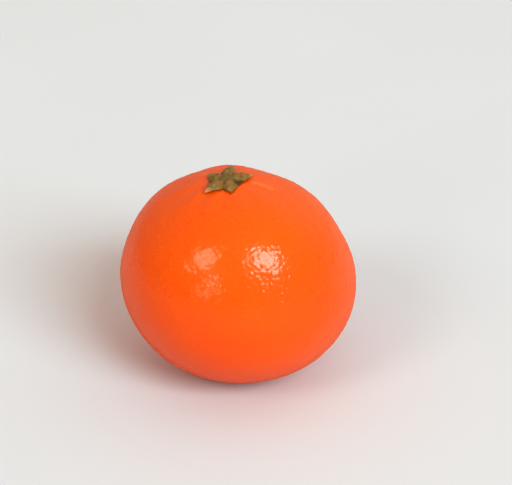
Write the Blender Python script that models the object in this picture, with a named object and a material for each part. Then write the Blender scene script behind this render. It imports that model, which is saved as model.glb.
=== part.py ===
"""A whole mandarin, resting on the small flat spot under it.

The fruit is one solid: its peel, with the raised shoulder round the stem end and
the dimple of the blossom end. The calyx, the dry five-lobed star left where the
stem was cut, is the other. Everything is in metres, with +Z up. The origin is on
the resting spot, straight below the middle of the fruit.
"""

import math

import bpy
import numpy as np

# The body is a squat ball that grew slightly askew: its short axis leans.
# Every lean is two angles in degrees: away from upright, and round from +X.
HALF_WIDTH = 0.03006
HALF_HEIGHT = 0.02655
BODY_LEAN = (12.0, 0.0)
MIDDLE_HEIGHT = 0.0260

# The stem end
STEM_LEAN = (6.7, 216.0)
SHOULDER_RISE = 0.0006
SHOULDER_INNER = 14.0
SHOULDER_OUTER = 36.0
FURROWS = 10
FURROW_DEPTH = 0.00022
FURROW_TURN = -4.0
FURROW_START = 0.0035
FURROW_FULL = 0.0080
FURROW_END = 0.0185

# The blossom end, opposite the stem
BLOSSOM_DEPTH = 0.0012
BLOSSOM_RADIUS = 0.0022
SCAR_RISE = 0.0003
SCAR_RADIUS = 0.0008

# Soft swells and flats of the skin, as the segments under it press on it:
# lean, height above or below the plain body, and how far it spreads in degrees
SWELLS = (
    ((68.5, 13.0), -0.00064, 15.0),
    ((34.5, 57.0), -0.00027, 9.0),
    ((30.5, 102.0), 0.00055, 11.0),
    ((48.5, 149.0), 0.00029, 14.0),
    ((73.0, 170.0), -0.00037, 14.0),
    ((128.5, 207.0), 0.00030, 13.0),
    ((149.0, 286.0), -0.00042, 23.0),
    ((107.0, 350.0), 0.00021, 15.0),
    ((70.0, 300.0), -0.00020, 16.0),
    ((95.0, 245.0), 0.00018, 20.0),
    ((96.0, 88.0), -0.00045, 18.0),
    ((72.0, 62.0), 0.00030, 15.0),
    ((112.0, 132.0), 0.00035, 18.0),
    ((120.0, 40.0), -0.00030, 17.0),
    ((62.0, 118.0), -0.00030, 14.0),
    ((43.5, 293.0), 0.00214, 24.0),
    ((39.0, 254.0), 0.00116, 24.0),
)

# The calyx, lobe by lobe: heading about the stem in degrees, length, half-width at
# the root, and how far the dried tip has lifted off the peel
LOBES = (
    (-136.0, 0.0070, 0.0046, 0.0003),
    (-80.0, 0.0062, 0.0042, 0.0001),
    (22.0, 0.0067, 0.0041, 0.0004),
    (80.0, 0.0070, 0.0033, 0.0009),
    (146.0, 0.0057, 0.0045, 0.0002),
)
LOBE_SPREAD = 72.0
LOBE_BULGE = 1.05
LOBE_SIDE = 60.0
CALYX_HEART = 0.0034
CALYX_GAP = 0.0003
CALYX_EDGE = 0.00045
CALYX_THICKNESS = 0.0009
LOBE_CREST = 0.0004
LOBE_GROOVE = 0.0005
STUB_TOP = 0.0004
STUB_RADIUS = 0.0019
STUB_RISE = 0.00025
FOLD_START = 0.0006
FOLD_FULL = 0.0030

# How finely the solids are faceted
FRUIT_COLUMNS = 80
FRUIT_RINGS = 56
RING_CROWDING = 0.55
LOBE_STEPS = 14
CALYX_RINGS = 12
FIRST_RING = 0.16


def lean(tilt, heading):
    """The unit vector that leans from upright by tilt, towards heading."""
    tilt, heading = math.radians(tilt), math.radians(heading)
    across = math.sin(tilt)
    return np.array([across * math.cos(heading), across * math.sin(heading), math.cos(tilt)])


STEM_AXIS = lean(*STEM_LEAN)
STEM_SIDE = np.array([1.0, 0.0, 0.0]) - STEM_AXIS * STEM_AXIS[0]
STEM_SIDE /= np.linalg.norm(STEM_SIDE)
STEM_BACK = np.cross(STEM_AXIS, STEM_SIDE)


def smooth_step(low, high, value):
    """0 below low, 1 above high, and an even S-curve between them."""
    share = np.clip((value - low) / (high - low), 0.0, 1.0)
    return share * share * (3.0 - 2.0 * share)


def angle_from(directions, axis):
    """The angle in radians between each unit direction and an axis."""
    return np.arccos(np.clip(directions @ axis, -1.0, 1.0))


def body_reach(directions):
    """How far the plain askew ball with its swells reaches along each direction."""
    along = directions @ lean(*BODY_LEAN)
    reach = 1.0 / np.sqrt((1.0 - along**2) / HALF_WIDTH**2 + along**2 / HALF_HEIGHT**2)
    for direction, height, spread in SWELLS:
        away = angle_from(directions, lean(*direction))
        reach += height * np.exp(-((away / math.radians(spread)) ** 2))
    return reach


def stem_relief(directions):
    """The raised shoulder round the stem, with a faint furrow between each two segments."""
    away = angle_from(directions, STEM_AXIS)
    shoulder = 1.0 - smooth_step(math.radians(SHOULDER_INNER), math.radians(SHOULDER_OUTER), away)
    heading = np.arctan2(directions @ STEM_BACK, directions @ STEM_SIDE)
    wave = 0.5 - 0.5 * np.cos(FURROWS * (heading - math.radians(FURROW_TURN)))
    arc = away * HALF_HEIGHT
    depth = smooth_step(FURROW_START, FURROW_FULL, arc) * (1.0 - smooth_step(FURROW_FULL, FURROW_END, arc))
    return SHOULDER_RISE * shoulder - FURROW_DEPTH * depth * wave


def blossom_relief(directions):
    """The dimple opposite the stem, with the small round scar of the flower in it."""
    arc = angle_from(directions, -STEM_AXIS) * HALF_HEIGHT
    scar = SCAR_RISE * np.exp(-((arc / SCAR_RADIUS) ** 2))
    return scar - BLOSSOM_DEPTH * np.exp(-((arc / BLOSSOM_RADIUS) ** 2))


def skin_points(directions, lift=0.0):
    """Points on the skin along each direction from the middle, or a lift above it."""
    reach = body_reach(directions) + stem_relief(directions) + blossom_relief(directions)
    points = (reach + lift)[:, None] * directions
    points[:, 2] = np.maximum(points[:, 2] + MIDDLE_HEIGHT, 0.0)
    return points


def stem_directions(away, heading):
    """Unit directions at an angle away from the stem and a heading about it."""
    across = np.cos(heading)[:, None] * STEM_SIDE + np.sin(heading)[:, None] * STEM_BACK
    return np.cos(away)[:, None] * STEM_AXIS + np.sin(away)[:, None] * across


def closed_rings(first, rings, last):
    """Vertices and faces of a closed skin: a point, rings of equal count, and a point."""
    columns = len(rings[0])
    vertices = np.vstack([first[None]] + rings + [last[None]])
    end = len(vertices) - 1
    faces = []
    for column in range(columns):
        after = (column + 1) % columns
        faces.append((0, 1 + column, 1 + after))
        for row in range(len(rings) - 1):
            upper, lower = 1 + row * columns, 1 + (row + 1) * columns
            faces.append((upper + column, lower + column, lower + after, upper + after))
        bottom = end - columns
        faces.append((bottom + column, end, bottom + after))
    return vertices, faces


def principled(name, colour, roughness):
    """A plain Principled material with the given linear colour."""
    material = bpy.data.materials.new(name)
    material.use_nodes = True
    shader = material.node_tree.nodes["Principled BSDF"]
    shader.inputs["Base Color"].default_value = (*colour, 1.0)
    shader.inputs["Roughness"].default_value = roughness
    shader.inputs["Metallic"].default_value = 0.0
    return material


def add_solid(name, vertices, faces, material):
    """Put a named object made of the vertices and faces in the scene, shaded smooth."""
    mesh = bpy.data.meshes.new(name)
    mesh.from_pydata(vertices.tolist(), [], faces)
    mesh.materials.append(material)
    mesh.shade_smooth()
    solid = bpy.data.objects.new(name, mesh)
    bpy.context.scene.collection.objects.link(solid)


def build_fruit():
    """The peel as one solid, on rings about the stem that crowd towards both ends."""
    headings = np.linspace(0.0, 2.0 * math.pi, FRUIT_COLUMNS, endpoint=False)
    rings = []
    for ring in range(1, FRUIT_RINGS):
        share = ring / FRUIT_RINGS
        crowded = share - RING_CROWDING * math.sin(2.0 * math.pi * share) / (2.0 * math.pi)
        away = np.full(FRUIT_COLUMNS, math.pi * crowded)
        rings.append(skin_points(stem_directions(away, headings)))
    top = skin_points(STEM_AXIS[None])[0]
    bottom = skin_points(-STEM_AXIS[None])[0]
    vertices, faces = closed_rings(top, rings, bottom)
    peel = principled("mandarin_peel", (0.85, 0.11, 0.005), 0.32)
    add_solid("fruit", vertices, faces, peel)


def lobe_headings():
    """Headings about the stem, evenly divided from each lobe's tip to the next one's."""
    tips = [math.radians(lobe[0]) for lobe in LOBES]
    headings = []
    for tip, following in zip(tips, tips[1:] + [tips[0] + 2.0 * math.pi]):
        headings.extend(np.linspace(tip, following, LOBE_STEPS, endpoint=False))
    return np.array(headings)


def star_radius(headings):
    """The outline of the calyx: at each heading, the lobe that reaches furthest."""
    furthest_off = math.cos(math.radians(LOBE_SIDE))
    radius = np.zeros(len(headings))
    for heading, length, half_width, _ in LOBES:
        off = headings - math.radians(heading)
        along = np.maximum(np.cos(off), furthest_off) / length
        across = np.abs(np.sin(off)) / half_width
        lobe = (along**LOBE_BULGE + across**LOBE_BULGE) ** (-1.0 / LOBE_BULGE)
        radius = np.maximum(radius, np.where(np.cos(off) > furthest_off, lobe, 0.0))
    return radius


def lobe_crowns(headings):
    """At each heading, 1 along the middle of each lobe and 0 between two, one row a lobe."""
    rows = []
    for heading, _, _, _ in LOBES:
        off = np.abs((headings - math.radians(heading) + math.pi) % (2.0 * math.pi) - math.pi)
        inside = off < math.radians(LOBE_SPREAD / 2.0)
        rows.append(np.where(inside, np.cos(math.pi * off / math.radians(LOBE_SPREAD)), 0.0))
    return np.array(rows)


def ring_radius(share, radius):
    """Radius of a ring of the calyx: round near the middle, and the star's outline at share 1."""
    return share * (CALYX_HEART * (1.0 - share**2) + radius * share**2)


def calyx_height(share, radius, crown):
    """Height of the calyx's upper face above the gap, on the ring at a share of its outline."""
    from_middle = ring_radius(share, radius)
    dome = np.sqrt(np.clip(1.0 - share**3, 0.0, 1.0))
    folds = LOBE_CREST * crown - LOBE_GROOVE * (1.0 - crown)
    folds = folds * smooth_step(FOLD_START, FOLD_FULL, from_middle)
    stub = STUB_RISE * (1.0 - smooth_step(STUB_TOP, STUB_RADIUS, from_middle))
    return CALYX_EDGE + (CALYX_THICKNESS - CALYX_EDGE + folds) * dome + stub


def build_calyx():
    """The star on the stem end: an upper face, a rim, and an underside along the skin."""
    headings = lobe_headings()
    radius = star_radius(headings)
    crowns = lobe_crowns(headings)
    crown = crowns.max(axis=0)
    tip_lift = np.array([lobe[3] for lobe in LOBES]) @ crowns

    def ring(share, height):
        away = ring_radius(share, radius) / HALF_HEIGHT
        lift = CALYX_GAP + height + tip_lift * share**3
        return skin_points(stem_directions(away, headings), lift)

    shares = np.linspace(FIRST_RING, 1.0, CALYX_RINGS)
    upper = [ring(share, calyx_height(share, radius, crown)) for share in shares]
    lower = [ring(share, 0.0) for share in shares[::-1]]
    middle = np.zeros(1)
    top = skin_points(STEM_AXIS[None], CALYX_GAP + calyx_height(middle, middle, middle))[0]
    bottom = skin_points(STEM_AXIS[None], CALYX_GAP)[0]
    vertices, faces = closed_rings(top, upper + lower, bottom)
    dry = principled("mandarin_calyx", (0.195, 0.125, 0.033), 0.6)
    add_solid("calyx", vertices, faces, dry)


for leftover in list(bpy.data.objects):
    bpy.data.objects.remove(leftover)
build_fruit()
build_calyx()
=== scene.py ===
import math

import bmesh
import bpy
import numpy as np
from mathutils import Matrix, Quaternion, Vector
from mathutils.kdtree import KDTree


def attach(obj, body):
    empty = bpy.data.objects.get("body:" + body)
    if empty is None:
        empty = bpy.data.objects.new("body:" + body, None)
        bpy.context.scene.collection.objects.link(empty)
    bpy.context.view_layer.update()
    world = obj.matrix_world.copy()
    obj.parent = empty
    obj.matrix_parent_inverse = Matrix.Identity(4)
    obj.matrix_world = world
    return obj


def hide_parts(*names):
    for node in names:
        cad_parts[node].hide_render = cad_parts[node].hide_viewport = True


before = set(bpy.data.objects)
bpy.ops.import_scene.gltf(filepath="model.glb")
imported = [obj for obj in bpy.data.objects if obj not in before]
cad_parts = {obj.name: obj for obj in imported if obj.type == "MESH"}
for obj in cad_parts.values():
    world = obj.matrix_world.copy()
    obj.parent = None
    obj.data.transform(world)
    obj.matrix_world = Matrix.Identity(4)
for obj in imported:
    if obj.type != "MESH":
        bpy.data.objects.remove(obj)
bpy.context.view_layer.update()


# The camera
# It looks down on the fruit by 30 degrees through a long lens, as in the photograph,
# and the middle of the fruit falls on the same pixel, at the same size.
IMAGE_WIDTH = 512
IMAGE_HEIGHT = 485
PIXELS_PER_METRE = 3922.0
MIDDLE_PIXEL = (238.0, 274.4)
MIDDLE_HEIGHT = 0.0260
CAMERA_TILT = math.radians(30.0)
LENS_MM = 100.0
SENSOR_MM = 36.0

middle = Vector((0.0, 0.0, MIDDLE_HEIGHT))
towards_camera = Vector((0.0, -math.cos(CAMERA_TILT), math.sin(CAMERA_TILT)))
image_up = Vector((0.0, math.sin(CAMERA_TILT), math.cos(CAMERA_TILT)))
image_right = Vector((1.0, 0.0, 0.0))
distance = LENS_MM / SENSOR_MM * IMAGE_WIDTH / PIXELS_PER_METRE
right_of_middle = (IMAGE_WIDTH / 2.0 - MIDDLE_PIXEL[0]) / PIXELS_PER_METRE
above_middle = (MIDDLE_PIXEL[1] - IMAGE_HEIGHT / 2.0) / PIXELS_PER_METRE
camera_place = middle + towards_camera * distance
aim = middle + image_right * right_of_middle + image_up * above_middle

camera = bpy.data.objects.new("camera", bpy.data.cameras.new("camera"))
camera.data.lens = LENS_MM
camera.data.sensor_width = SENSOR_MM
camera.data.sensor_fit = "HORIZONTAL"
camera.data.clip_start = 0.01
camera.location = camera_place
camera.rotation_euler = (aim - camera_place).to_track_quat("-Z", "Y").to_euler()
bpy.context.scene.collection.objects.link(camera)
bpy.context.scene.camera = camera


# The peel
# One unbroken skin over the whole fruit: a squat ball grown slightly askew, with soft
# swells, a raised shoulder round the stem end and faint furrows between the segments. Its
# oil glands stand up as low domes with a seam between each two, flatter on one cheek.
HALF_WIDTH = 0.03006
HALF_HEIGHT = 0.02655
BODY_LEAN = (12.0, 0.0)
STEM_LEAN = (6.7, 216.0)
SHOULDER_RISE = 0.0006
SHOULDER_INNER = 14.0
SHOULDER_OUTER = 36.0
FURROWS = 10
FURROW_DEPTH = 0.00022
FURROW_TURN = -4.0
FURROW_START = 0.0035
FURROW_FULL = 0.0080
FURROW_END = 0.0185
BLOSSOM_DEPTH = 0.0012
BLOSSOM_RADIUS = 0.0022
SCAR_RISE = 0.0003
SCAR_RADIUS = 0.0008
# Each swell: angle from upright and heading, height, and spread in degrees.
SWELLS = (
    ((68.5, 13.0), -0.00064, 15.0),
    ((34.5, 57.0), -0.00027, 9.0),
    ((30.5, 102.0), 0.00055, 11.0),
    ((48.5, 149.0), 0.00029, 14.0),
    ((73.0, 170.0), -0.00037, 14.0),
    ((128.5, 207.0), 0.00030, 13.0),
    ((149.0, 286.0), -0.00042, 23.0),
    ((107.0, 350.0), 0.00021, 15.0),
    ((70.0, 300.0), -0.00020, 16.0),
    ((95.0, 245.0), 0.00018, 20.0),
    ((96.0, 88.0), -0.00045, 18.0),
    ((72.0, 62.0), 0.00030, 15.0),
    ((112.0, 132.0), 0.00035, 18.0),
    ((120.0, 40.0), -0.00030, 17.0),
    ((62.0, 118.0), -0.00030, 14.0),
    ((43.5, 293.0), 0.00214, 24.0),
    ((39.0, 254.0), 0.00116, 24.0),
)
GLAND_SPACING = 0.00130
GLAND_SCATTER = 0.00052
GLAND_SEAM = 0.00085
GLAND_RISE = 0.000100
# The smoother cheek: its direction, how much of the relief it loses, and its spread.
SMOOTH_CHEEK = ((54.0, 252.0), 0.45, 20.0)
CHEEK_INNER = 0.007
CHEEK_OUTER = 0.015
PEBBLE_WAVES = 40
PEBBLE_LENGTH = (0.0018, 0.0050)
PEBBLE_HEIGHT = 0.000016
GLAND_SEED = 42
PEEL_ORANGE = (0.88, 0.139, 0.0)
# The deeper orange is both uneven tone and painted shade low on the fruit.
PEEL_DEEP_ORANGE = (0.88, 0.103, 0.0)
DEEP_BELOW = 0.008
ORANGE_ABOVE = 0.050
# Painted shade for the seams between the oil glands.
PEEL_SEAM_SHADE_COLOUR = (0.83, 0.103, 0.0)
MARK_BROWN = (0.26, 0.06, 0.01)
# Painted highlight: the pale streak by the calyx.
PAINTED_STREAK_HIGHLIGHT = (0.88, 0.25, 0.06)
# Each spot: distance from the stem and heading about it, radius, strength and colour. The brown spots are
# specks on the peel; the pale ones are a painted highlight, a streak running out from the calyx.
PEEL_SPECKS_AND_HIGHLIGHT = (
    ((0.0166, -50.8), 0.00050, 0.35, MARK_BROWN),
    ((0.0293, -36.4), 0.00065, 0.35, MARK_BROWN),
    ((0.0066, 0.5), 0.0018, 0.45, PAINTED_STREAK_HIGHLIGHT),
    ((0.0084, -3.0), 0.0017, 0.45, PAINTED_STREAK_HIGHLIGHT),
    ((0.0104, -6.0), 0.0016, 0.40, PAINTED_STREAK_HIGHLIGHT),
)
SEAM_BUMP = 0.000020
SEAM_HALF_WIDTH = 0.30
SEAM_SHADE = 0.35
GRAIN_BUMP = 0.00006
GRAIN_SCALE = 520.0
PATCH_SCALE = 45.0
WAX_SCALE = 260.0
SKIN_ROUGHNESS = (0.36, 0.46)
SKIN_IOR = 1.38
SKIN_SPECULAR = 0.08
WAX_ROUGHNESS = 0.175
WAX_IOR = 1.43
WAX_FADES_FROM = 0.50
WAX_FADES_TO = 0.90
WAX_LEFT_AT_RIM = 0.15


def lean(tilt, heading):
    """The unit vector that leans from upright by tilt, towards heading, both in degrees."""
    tilt, heading = math.radians(tilt), math.radians(heading)
    across = math.sin(tilt)
    return np.array([across * math.cos(heading), across * math.sin(heading), math.cos(tilt)])


STEM_AXIS = lean(*STEM_LEAN)
STEM_SIDE = np.array([1.0, 0.0, 0.0]) - STEM_AXIS * STEM_AXIS[0]
STEM_SIDE /= np.linalg.norm(STEM_SIDE)
STEM_BACK = np.cross(STEM_AXIS, STEM_SIDE)


def smooth_step(low, high, value):
    """0 below low, 1 above high, and an even S-curve between them."""
    share = np.clip((value - low) / (high - low), 0.0, 1.0)
    return share * share * (3.0 - 2.0 * share)


def angle_from(directions, axis):
    """The angle in radians between each unit direction and an axis."""
    return np.arccos(np.clip(directions @ axis, -1.0, 1.0))


def body_reach(directions):
    """How far the plain askew ball with its swells reaches along each direction."""
    along = directions @ lean(*BODY_LEAN)
    reach = 1.0 / np.sqrt((1.0 - along**2) / HALF_WIDTH**2 + along**2 / HALF_HEIGHT**2)
    for direction, height, spread in SWELLS:
        away = angle_from(directions, lean(*direction))
        reach += height * np.exp(-((away / math.radians(spread)) ** 2))
    return reach


def stem_relief(directions):
    """The raised shoulder round the stem, with a faint furrow between each two segments."""
    away = angle_from(directions, STEM_AXIS)
    shoulder = 1.0 - smooth_step(math.radians(SHOULDER_INNER), math.radians(SHOULDER_OUTER), away)
    heading = np.arctan2(directions @ STEM_BACK, directions @ STEM_SIDE)
    wave = 0.5 - 0.5 * np.cos(FURROWS * (heading - math.radians(FURROW_TURN)))
    arc = away * HALF_HEIGHT
    depth = smooth_step(FURROW_START, FURROW_FULL, arc) * (1.0 - smooth_step(FURROW_FULL, FURROW_END, arc))
    return SHOULDER_RISE * shoulder - FURROW_DEPTH * depth * wave


def blossom_relief(directions):
    """The dimple opposite the stem, with the small round scar of the flower in it."""
    arc = angle_from(directions, -STEM_AXIS) * HALF_HEIGHT
    scar = SCAR_RISE * np.exp(-((arc / SCAR_RADIUS) ** 2))
    return scar - BLOSSOM_DEPTH * np.exp(-((arc / BLOSSOM_RADIUS) ** 2))


def skin_points(directions, lift=0.0):
    """Points on the skin along each direction from the middle, or a lift above it."""
    reach = body_reach(directions) + stem_relief(directions) + blossom_relief(directions)
    points = (reach + lift)[:, None] * directions
    points[:, 2] = np.maximum(points[:, 2] + MIDDLE_HEIGHT, 0.0)
    return points


def stem_directions(away, heading):
    """Unit directions at an angle away from the stem and a heading about it."""
    across = np.cos(heading)[:, None] * STEM_SIDE + np.sin(heading)[:, None] * STEM_BACK
    return np.cos(away)[:, None] * STEM_AXIS + np.sin(away)[:, None] * across


def stem_point(arc, heading):
    """The point on the skin at a distance along it from the stem, at a heading in degrees."""
    away, turn = np.array([arc / HALF_HEIGHT]), np.array([math.radians(heading)])
    return skin_points(stem_directions(away, turn))[0]


def ball_of_small_triangles():
    """Unit directions and triangles of a ball with edges of about a third of a millimetre."""
    ball = bmesh.new()
    bmesh.ops.create_icosphere(ball, subdivisions=6, radius=1.0)
    bmesh.ops.subdivide_edges(ball, edges=ball.edges[:], cuts=2, use_grid_fill=True)
    bmesh.ops.triangulate(ball, faces=ball.faces[:])
    directions = np.array([vertex.co for vertex in ball.verts])
    faces = [[vertex.index for vertex in face.verts] for face in ball.faces]
    ball.free()
    return directions / np.linalg.norm(directions, axis=1)[:, None], faces


def gland_directions(random):
    """Evenly strewn unit directions, one an oil gland, each nudged off the regular spiral."""
    count = int(4.0 * math.pi * HALF_HEIGHT * HALF_WIDTH / GLAND_SPACING**2)
    step = np.arange(count) + 0.5
    height = 1.0 - 2.0 * step / count
    turn = math.pi * (1.0 + math.sqrt(5.0)) * step
    across = np.sqrt(1.0 - height**2)
    spiral = np.stack([across * np.cos(turn), across * np.sin(turn), height], axis=1)
    nudged = spiral + random.normal(0.0, GLAND_SCATTER / HALF_WIDTH, spiral.shape)
    return nudged / np.linalg.norm(nudged, axis=1)[:, None]


def gland_relief(directions, random):
    """How high the oil glands raise the skin, with a low seam between each two of them."""
    glands = gland_directions(random)
    size = random.uniform(0.4, 1.0, len(glands))
    tree = KDTree(len(glands))
    for index, gland in enumerate(glands):
        tree.insert(Vector(gland), index)
    tree.balance()
    nearest = np.zeros(len(directions), dtype=int)
    seam = np.zeros(len(directions))
    for index, direction in enumerate(directions):
        first, second = tree.find_n(Vector(direction), 2)
        nearest[index] = first[1]
        seam[index] = (second[2] - first[2]) * HALF_WIDTH
    return GLAND_RISE * size[nearest] * smooth_step(0.0, GLAND_SEAM, seam)


def uneven(points, random, waves, lengths, height):
    """Low unevenness at each point, as a sum of seeded waves that run every way."""
    heading = random.normal(0.0, 1.0, (waves, 3))
    heading /= np.linalg.norm(heading, axis=1)[:, None]
    length = random.uniform(*lengths, waves)
    start = random.uniform(0.0, 2.0 * math.pi, waves)
    run = points @ (heading / length[:, None]).T * (2.0 * math.pi)
    return height * np.cos(run + start).sum(axis=1) * math.sqrt(2.0 / waves)


def add_piece(name, vertices, faces, material):
    """A smooth-shaded object of the vertices and faces, in the scene, wearing the material."""
    mesh = bpy.data.meshes.new(name)
    mesh.from_pydata(vertices.tolist(), [], faces)
    mesh.materials.append(material)
    mesh.shade_smooth()
    piece = bpy.data.objects.new(name, mesh)
    bpy.context.scene.collection.objects.link(piece)
    return piece


def material_nodes(name):
    """A new node material, its shader, and a function that adds a node with inputs set."""
    material = bpy.data.materials.new(name)
    material.use_nodes = True
    tree = material.node_tree

    def add(kind, **inputs):
        node = tree.nodes.new(kind)
        for socket, value in inputs.items():
            node.inputs[socket.replace("_", " ")].default_value = value
        return node

    return material, tree.nodes["Principled BSDF"], add, tree.links.new


def lay_over(add, link, factor, under, colour):
    """The colour laid over what is under it, as strongly as the factor says."""
    mix = add("ShaderNodeMix")
    mix.data_type = "RGBA"
    link(factor, mix.inputs["Factor"])
    link(under, mix.inputs["A"])
    mix.inputs["B"].default_value = (*colour, 1.0)
    return mix.outputs["Result"]


def colour_ramp(add, stops):
    """A colour ramp with the given places and linear colours."""
    ramp = add("ShaderNodeValToRGB")
    elements = ramp.color_ramp.elements
    while len(elements) < len(stops):
        elements.new(0.5)
    for element, (place, colour) in zip(elements, stops):
        element.position = place
        element.color = (*colour, 1.0)
    return ramp


def peel_material():
    """Orange peel under clear wax: soft changes of orange with painted shade low down, painted shade in
    the seams, brown specks, a painted highlight streak and a grainy gloss.
    """
    material, shader, add, link = material_nodes("citrus_peel")
    place = add("ShaderNodeTexCoord").outputs["Object"]

    patches = add("ShaderNodeTexNoise", Scale=PATCH_SCALE, Detail=3.0, Roughness=0.5)
    link(place, patches.inputs["Vector"])
    # Painted shade: lower down the peel is painted a deeper orange and higher up a yellower one, for how
    # light falls on it, over patches of uneven tone.
    height = add("ShaderNodeSeparateXYZ")
    link(place, height.inputs["Vector"])
    height_shade = add("ShaderNodeMapRange", From_Min=DEEP_BELOW, From_Max=ORANGE_ABOVE)
    height_shade.inputs["To Min"].default_value = -0.5
    height_shade.inputs["To Max"].default_value = 0.5
    height_shade.clamp = False
    link(height.outputs["Z"], height_shade.inputs["Value"])
    patches_and_height_shade = add("ShaderNodeMath")
    link(patches.outputs["Fac"], patches_and_height_shade.inputs[0])
    link(height_shade.outputs["Result"], patches_and_height_shade.inputs[1])
    oranges = colour_ramp(add, ((0.05, PEEL_DEEP_ORANGE), (0.95, PEEL_ORANGE)))
    link(patches_and_height_shade.outputs["Value"], oranges.inputs["Fac"])

    glands = add("ShaderNodeTexVoronoi", Scale=1.0 / GLAND_SPACING, Randomness=1.0)
    glands.feature = "DISTANCE_TO_EDGE"
    link(place, glands.inputs["Vector"])
    # Painted shade: the peel is painted a little darker along the low seams between the glands.
    painted_seam_shade = add("ShaderNodeMapRange", From_Min=0.02, From_Max=0.14, To_Min=SEAM_SHADE, To_Max=0.0)
    link(glands.outputs["Distance"], painted_seam_shade.inputs["Value"])
    coloured = lay_over(add, link, painted_seam_shade.outputs["Result"], oranges.outputs["Color"], PEEL_SEAM_SHADE_COLOUR)
    # Brown specks on the peel, and a pale streak by the calyx that is a painted highlight.
    for (arc, heading), radius, strength, colour in PEEL_SPECKS_AND_HIGHLIGHT:
        spot_off = add("ShaderNodeVectorMath")
        spot_off.operation = "DISTANCE"
        link(place, spot_off.inputs[0])
        spot_off.inputs[1].default_value = stem_point(arc, heading)
        spot = add("ShaderNodeMapRange", From_Min=0.3 * radius, From_Max=radius)
        spot.inputs["To Min"].default_value = strength
        spot.inputs["To Max"].default_value = 0.0
        spot.interpolation_type = "SMOOTHSTEP"
        link(spot_off.outputs["Value"], spot.inputs["Value"])
        coloured = lay_over(add, link, spot.outputs["Result"], coloured, colour)
    link(coloured, shader.inputs["Base Color"])

    wax = add("ShaderNodeTexNoise", Scale=WAX_SCALE, Detail=4.0, Roughness=0.6)
    link(place, wax.inputs["Vector"])
    gloss = add("ShaderNodeMapRange", From_Min=0.3, From_Max=0.7)
    gloss.inputs["To Min"].default_value, gloss.inputs["To Max"].default_value = SKIN_ROUGHNESS
    link(wax.outputs["Fac"], gloss.inputs["Value"])
    link(gloss.outputs["Result"], shader.inputs["Roughness"])

    cheek_off = add("ShaderNodeVectorMath")
    cheek_off.operation = "DISTANCE"
    link(place, cheek_off.inputs[0])
    cheek_off.inputs[1].default_value = skin_points(lean(*SMOOTH_CHEEK[0])[None])[0]
    rough = add("ShaderNodeMapRange", From_Min=CHEEK_INNER, From_Max=CHEEK_OUTER, To_Min=0.1, To_Max=1.0)
    link(cheek_off.outputs["Value"], rough.inputs["Value"])
    domes = add("ShaderNodeMapRange", From_Min=0.0, From_Max=SEAM_HALF_WIDTH)
    domes.interpolation_type = "SMOOTHSTEP"
    link(glands.outputs["Distance"], domes.inputs["Value"])
    domed = add("ShaderNodeBump", Distance=SEAM_BUMP)
    link(rough.outputs["Result"], domed.inputs["Strength"])
    link(domes.outputs["Result"], domed.inputs["Height"])
    grain = add("ShaderNodeTexNoise", Scale=GRAIN_SCALE, Detail=1.0, Roughness=0.5)
    link(place, grain.inputs["Vector"])
    raised = add("ShaderNodeBump", Distance=GRAIN_BUMP)
    link(rough.outputs["Result"], raised.inputs["Strength"])
    link(grain.outputs["Fac"], raised.inputs["Height"])
    link(domed.outputs["Normal"], raised.inputs["Normal"])
    link(raised.outputs["Normal"], shader.inputs["Normal"])
    link(raised.outputs["Normal"], shader.inputs["Coat Normal"])

    slant = add("ShaderNodeLayerWeight", Blend=0.5)
    wax_left = add("ShaderNodeMapRange", From_Min=WAX_FADES_FROM, From_Max=WAX_FADES_TO)
    wax_left.inputs["To Min"].default_value = 1.0
    wax_left.inputs["To Max"].default_value = WAX_LEFT_AT_RIM
    link(slant.outputs["Facing"], wax_left.inputs["Value"])
    link(wax_left.outputs["Result"], shader.inputs["Coat Weight"])
    shader.inputs["IOR"].default_value = SKIN_IOR
    shader.inputs["Specular IOR Level"].default_value = SKIN_SPECULAR
    shader.inputs["Coat Roughness"].default_value = WAX_ROUGHNESS
    shader.inputs["Coat IOR"].default_value = WAX_IOR
    return material


random = np.random.default_rng(GLAND_SEED)
directions, peel_faces = ball_of_small_triangles()
relief = gland_relief(directions, random)
cheek, cheek_evenness, cheek_spread = SMOOTH_CHEEK
from_cheek = angle_from(directions, lean(*cheek)) / math.radians(cheek_spread)
relief *= 1.0 - cheek_evenness * np.exp(-(from_cheek**2))
relief += uneven(directions * HALF_WIDTH, random, PEBBLE_WAVES, PEBBLE_LENGTH, PEBBLE_HEIGHT)
peel = add_piece("peel", skin_points(directions, relief), peel_faces, peel_material())
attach(peel, "root")
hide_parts("fruit")


# The calyx
# The dry star at the stem end, of five pointed, puffed lobes round the cut stub. It
# grows out of the peel under its heart, and its tips are paler and lift a little.
# Each lobe: heading about the stem, length, half width, and how far its tip lifts.
LOBES = (
    (-136.0, 0.0070, 0.0046, 0.0003),
    (-80.0, 0.0062, 0.0042, 0.0001),
    (22.0, 0.0067, 0.0041, 0.0004),
    (80.0, 0.0070, 0.0033, 0.0009),
    (146.0, 0.0057, 0.0045, 0.0002),
)
TIP_PALENESS = (1.0, 0.25, 0.9, 0.0, 0.8)
TIP_START = 0.68
LOBE_SPREAD = 72.0
LOBE_BULGE = 1.05
LOBE_SIDE = 60.0
CALYX_HEART = 0.0034
CALYX_EDGE = 0.00035
CALYX_THICKNESS = 0.0011
CALYX_SUNK = 0.0001
LOBE_CREST = 0.0004
LOBE_GROOVE = 0.0007
STUB_TOP = 0.0004
STUB_RADIUS = 0.0019
STUB_RISE = 0.00025
FOLD_START = 0.0006
FOLD_FULL = 0.0030
LOBE_STEPS = 64
CALYX_RINGS = 48
FIRST_RING = 0.02
LUMP_WAVES = 30
LUMP_LENGTH = (0.0010, 0.0026)
LUMP_HEIGHT = 0.00012
LUMP_SEED = 5
CALYX_GREEN = (0.215, 0.132, 0.030)
CALYX_OLIVE = (0.305, 0.164, 0.038)
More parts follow.
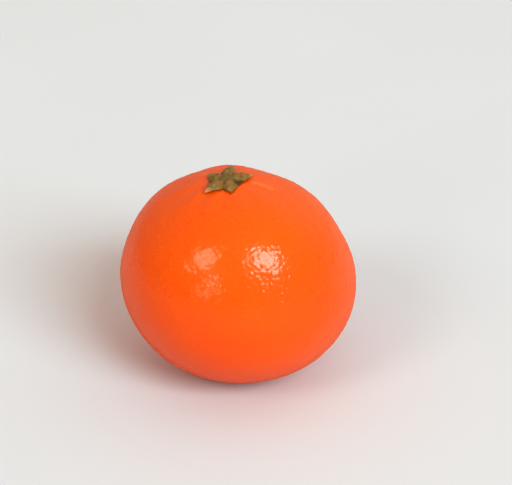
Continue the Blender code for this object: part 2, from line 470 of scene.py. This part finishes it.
CALYX_DARK = (0.175, 0.101, 0.024)
# Tan of the mottling, also used as painted glints.
CALYX_TAN_AND_GLINT = (0.40, 0.24, 0.088)
# Painted shade for the creases between the lobes.
CALYX_CREASE_SHADE = (0.122, 0.064, 0.015)
CALYX_TIP = (0.60, 0.245, 0.100)
MOTTLE_SCALE = 750.0
FRAY = 0.8
FIBRE_SCALE = 1400.0
FIBRE_BUMP = 0.00008
CALYX_ROUGHNESS = 0.30
CALYX_IOR = 1.45


def lobe_headings():
    """Headings about the stem, evenly divided from each lobe's tip to the next one's."""
    tips = [math.radians(lobe[0]) for lobe in LOBES]
    headings = []
    for tip, following in zip(tips, tips[1:] + [tips[0] + 2.0 * math.pi]):
        headings.extend(np.linspace(tip, following, LOBE_STEPS, endpoint=False))
    return np.array(headings)


def star_radius(headings):
    """The outline of the calyx: at each heading, the lobe that reaches furthest."""
    furthest_off = math.cos(math.radians(LOBE_SIDE))
    radius = np.zeros(len(headings))
    for heading, length, half_width, _ in LOBES:
        off = headings - math.radians(heading)
        along = np.maximum(np.cos(off), furthest_off) / length
        across = np.abs(np.sin(off)) / half_width
        lobe = (along**LOBE_BULGE + across**LOBE_BULGE) ** (-1.0 / LOBE_BULGE)
        radius = np.maximum(radius, np.where(np.cos(off) > furthest_off, lobe, 0.0))
    return radius


def lobe_crowns(headings):
    """At each heading, 1 along the middle of each lobe and 0 between two, one row a lobe."""
    rows = []
    for heading, _, _, _ in LOBES:
        off = np.abs((headings - math.radians(heading) + math.pi) % (2.0 * math.pi) - math.pi)
        inside = off < math.radians(LOBE_SPREAD / 2.0)
        rows.append(np.where(inside, np.cos(math.pi * off / math.radians(LOBE_SPREAD)), 0.0))
    return np.array(rows)


def ring_radius(share, radius):
    """Radius of a ring of the calyx: round near the middle, and the star's outline at share 1."""
    return share * (CALYX_HEART * (1.0 - share**2) + radius * share**2)


def calyx_height(share, radius, crown):
    """Height of the calyx's upper face above the peel, on the ring at a share of its outline."""
    from_middle = ring_radius(share, radius)
    dome = np.sqrt(np.clip(1.0 - share**4, 0.0, 1.0))
    folds = LOBE_CREST * crown - LOBE_GROOVE * (1.0 - crown)
    folds = folds * smooth_step(FOLD_START, FOLD_FULL, from_middle)
    stub = STUB_RISE * (1.0 - smooth_step(STUB_TOP, STUB_RADIUS, from_middle))
    return CALYX_EDGE + (CALYX_THICKNESS - CALYX_EDGE + folds) * dome + stub


def closed_rings(first, rings, last):
    """Vertices and faces of a closed skin: a point, rings of equal count, and a point."""
    columns = len(rings[0])
    vertices = np.vstack([first[None]] + rings + [last[None]])
    end = len(vertices) - 1
    faces = []
    for column in range(columns):
        after = (column + 1) % columns
        faces.append((0, 1 + column, 1 + after))
        for row in range(len(rings) - 1):
            upper, lower = 1 + row * columns, 1 + (row + 1) * columns
            faces.append((upper + column, lower + column, lower + after, upper + after))
        bottom = end - columns
        faces.append((bottom + column, end, bottom + after))
    return vertices, faces


def calyx_skin(random):
    """Vertices, faces and markings of the star: its upper face, and its underside on the peel.

    The markings say of each vertex how far it is into a pale tip, into the painted shade of the creases,
    and into the heart.
    """
    crowns = lobe_crowns(lobe_headings())
    share = np.repeat(np.linspace(FIRST_RING, 1.0, CALYX_RINGS), crowns.shape[1])
    headings = np.tile(lobe_headings(), CALYX_RINGS)
    radius = star_radius(headings)
    crown = np.tile(crowns.max(axis=0), CALYX_RINGS)
    lift = np.tile(np.array([lobe[3] for lobe in LOBES]) @ crowns, CALYX_RINGS) * share**3

    directions = stem_directions(ring_radius(share, radius) / HALF_HEIGHT, headings)
    lumps = uneven(directions * HALF_WIDTH, random, LUMP_WAVES, LUMP_LENGTH, LUMP_HEIGHT)
    lumps *= np.sqrt(1.0 - share**4)
    upper = skin_points(directions, calyx_height(share, radius, crown) + lift + lumps)
    lower = skin_points(directions, CALYX_EDGE * share**6 * 0.5 - CALYX_SUNK + lift)
    upper = upper.reshape(CALYX_RINGS, -1, 3)
    lower = lower.reshape(CALYX_RINGS, -1, 3)[::-1]
    middles = upper[0].mean(axis=0), lower[-1].mean(axis=0)
    vertices, faces = closed_rings(middles[0], [*upper, *lower], middles[1])

    def on_both_faces(values):
        """Values of the upper face's rings, given to the middles and the underside too."""
        values = values.reshape(CALYX_RINGS, -1)
        middle = values[0, :1]
        return np.concatenate([middle, values.ravel(), values[::-1].ravel(), middle])

    from_middle = ring_radius(share, radius)
    lobe_length = np.array([lobe[1] for lobe in LOBES])[crowns.argmax(axis=0)]
    along_lobe = from_middle / np.tile(lobe_length, CALYX_RINGS)
    pale = np.tile(np.array(TIP_PALENESS) @ crowns, CALYX_RINGS)
    markings = {
        "tip": on_both_faces(pale * smooth_step(TIP_START, 1.0, along_lobe)),
        # Painted shade: the creases between the lobes are marked to be painted dark.
        "crease_shade": on_both_faces((1.0 - crown) ** 2 * smooth_step(FOLD_START, FOLD_FULL, from_middle)),
        "heart": on_both_faces(1.0 - smooth_step(0.2, 0.75, share)),
    }
    return vertices, faces, markings


def calyx_material():
    """Dry olive-brown calyx: greener heart, tan mottling with painted glints, painted shade in the
    creases, and pale tips.
    """
    material, shader, add, link = material_nodes("dry_calyx")
    place = add("ShaderNodeTexCoord").outputs["Object"]
    mottle = add("ShaderNodeTexNoise", Scale=MOTTLE_SCALE, Detail=3.0, Roughness=0.6)
    link(place, mottle.inputs["Vector"])

    def marking(name, ends):
        """How strongly a marking shows, read from the mesh and frayed by the mottling."""
        strength = add("ShaderNodeAttribute")
        strength.attribute_name = name
        frayed = add("ShaderNodeMath")
        frayed.operation = "MULTIPLY_ADD"
        link(mottle.outputs["Fac"], frayed.inputs[0])
        frayed.inputs[1].default_value = FRAY
        link(strength.outputs["Fac"], frayed.inputs[2])
        shown = add("ShaderNodeMapRange", From_Min=ends[0] + FRAY / 2.0, From_Max=ends[1] + FRAY / 2.0)
        link(frayed.outputs["Value"], shown.inputs["Value"])
        return shown.outputs["Result"]

    # The mottling is the calyx's own uneven tone; its palest, tan spots are also painted highlights that
    # stand in for glints.
    stops = (0.32, CALYX_DARK), (0.46, CALYX_OLIVE), (0.58, CALYX_OLIVE), (0.68, CALYX_TAN_AND_GLINT)
    browns_and_glints = colour_ramp(add, stops)
    link(mottle.outputs["Fac"], browns_and_glints.inputs["Fac"])
    coloured = lay_over(add, link, marking("heart", (0.1, 0.9)), browns_and_glints.outputs["Color"], CALYX_GREEN)
    # Painted shade: the creases between the lobes are painted dark.
    coloured = lay_over(add, link, marking("crease_shade", (0.3, 1.0)), coloured, CALYX_CREASE_SHADE)
    coloured = lay_over(add, link, marking("tip", (0.15, 0.75)), coloured, CALYX_TIP)
    link(coloured, shader.inputs["Base Color"])

    fibres = add("ShaderNodeTexNoise", Scale=FIBRE_SCALE, Detail=4.0, Roughness=0.6)
    link(place, fibres.inputs["Vector"])
    raised = add("ShaderNodeBump", Distance=FIBRE_BUMP)
    link(fibres.outputs["Fac"], raised.inputs["Height"])
    link(raised.outputs["Normal"], shader.inputs["Normal"])

    shader.inputs["Roughness"].default_value = CALYX_ROUGHNESS
    shader.inputs["IOR"].default_value = CALYX_IOR
    return material


calyx_vertices, calyx_faces, calyx_markings = calyx_skin(np.random.default_rng(LUMP_SEED))
calyx = add_piece("calyx_star", calyx_vertices, calyx_faces, calyx_material())
for marking_name, values in calyx_markings.items():
    calyx.data.attributes.new(marking_name, "FLOAT", "POINT").data.foreach_set("value", values)
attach(calyx, "root")
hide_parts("calyx")


# The surface
# A plain pale sheet of matt paper, far wider than the view.
FLOOR_WIDTH = 4.0
PAPER_WHITE = (0.74, 0.705, 0.685)
PAPER_SHADE = (0.72, 0.685, 0.665)
PAPER_ROUGHNESS = 0.9
PAPER_SPECULAR = 0.2


def paper_material():
    """Matt, very slightly warm white paper with a barely uneven tone."""
    material, shader, add, link = material_nodes("white_paper")
    place = add("ShaderNodeTexCoord").outputs["Object"]
    clouds = add("ShaderNodeTexNoise", Scale=6.0, Detail=2.0, Roughness=0.5)
    link(place, clouds.inputs["Vector"])
    whites = colour_ramp(add, ((0.3, PAPER_SHADE), (0.7, PAPER_WHITE)))
    link(clouds.outputs["Fac"], whites.inputs["Fac"])
    link(whites.outputs["Color"], shader.inputs["Base Color"])
    shader.inputs["Roughness"].default_value = PAPER_ROUGHNESS
    shader.inputs["Specular IOR Level"].default_value = PAPER_SPECULAR
    return material


half = FLOOR_WIDTH / 2.0
corners = np.array([(-half, -half, 0.0), (half, -half, 0.0), (half, half, 0.0), (-half, half, 0.0)])
floor = add_piece("floor", corners, [(0, 1, 2, 3)], paper_material())


# The light
# Two soft lamps in front, a bright one on the right and a fainter one on the left, with
# two small cards that throw the short glints under the left one's. The room round them
# is warm and dim, and brighter overhead and behind.
# Each lamp: heading and height, spread wide and high, and roll in degrees, then radiance.
LAMPS = (
    ("lamp_right", 35.0, 34.0, (35.0, 23.0), -35.0, (8.2, 12.0, 13.5)),
    ("lamp_left", -46.5, 37.5, (18.0, 18.0), 0.0, (5.1, 6.2, 6.1)),
    ("card_low", -31.0, 10.5, (19.0, 3.5), 0.0, (5.8, 5.8, 5.8)),
    ("card_middle", -27.0, 21.5, (7.0, 5.0), 0.0, (11.5, 11.5, 11.5)),
)
LAMP_DISTANCE = 8.0
ROOM_BRIGHT_SIDE = (0.35, 0.50, 0.79)
ROOM_DIM = (0.22, 0.18, 0.155)
ROOM_BRIGHT = (0.855, 0.725, 0.675)
PICTURE_GAMMA = 0.73
PICTURE_EXPOSURE = 0.0

for name, heading, height, spread, roll, radiance in LAMPS:
    wide, high = (2.0 * LAMP_DISTANCE * math.tan(math.radians(angle / 2.0)) for angle in spread)
    brightest = max(radiance)
    lamp = bpy.data.objects.new(name, bpy.data.lights.new(name, "AREA"))
    lamp.data.shape = "RECTANGLE"
    lamp.data.size = wide
    lamp.data.size_y = high
    lamp.data.energy = brightest * math.pi * wide * high
    lamp.data.color = [part / brightest for part in radiance]
    out = Vector(lean(90.0 - height, heading - 90.0))
    lamp.location = middle + out * LAMP_DISTANCE
    upright = out.to_track_quat("Z", "Y")
    lamp.rotation_euler = (upright @ Quaternion((0.0, 0.0, 1.0), math.radians(roll))).to_euler()
    bpy.context.scene.collection.objects.link(lamp)

room = bpy.data.worlds.new("room")
room.use_nodes = True
room_nodes = room.node_tree.nodes
room_link = room.node_tree.links.new
room_place = room_nodes.new("ShaderNodeTexCoord")
towards_bright = room_nodes.new("ShaderNodeVectorMath")
towards_bright.operation = "DOT_PRODUCT"
towards_bright.inputs[1].default_value = ROOM_BRIGHT_SIDE
room_glow = room_nodes.new("ShaderNodeMapRange")
room_glow.inputs["From Min"].default_value = -1.0
room_walls = room_nodes.new("ShaderNodeMix")
room_walls.data_type = "RGBA"
room_walls.inputs["A"].default_value = (*ROOM_DIM, 1.0)
room_walls.inputs["B"].default_value = (*ROOM_BRIGHT, 1.0)
room_link(room_place.outputs["Generated"], towards_bright.inputs[0])
room_link(towards_bright.outputs["Value"], room_glow.inputs["Value"])
room_link(room_glow.outputs["Result"], room_walls.inputs["Factor"])
room_link(room_walls.outputs["Result"], room_nodes["Background"].inputs["Color"])
bpy.context.scene.world = room
bpy.context.scene.view_settings.view_transform = "Standard"
bpy.context.scene.view_settings.gamma = PICTURE_GAMMA
bpy.context.scene.view_settings.exposure = PICTURE_EXPOSURE
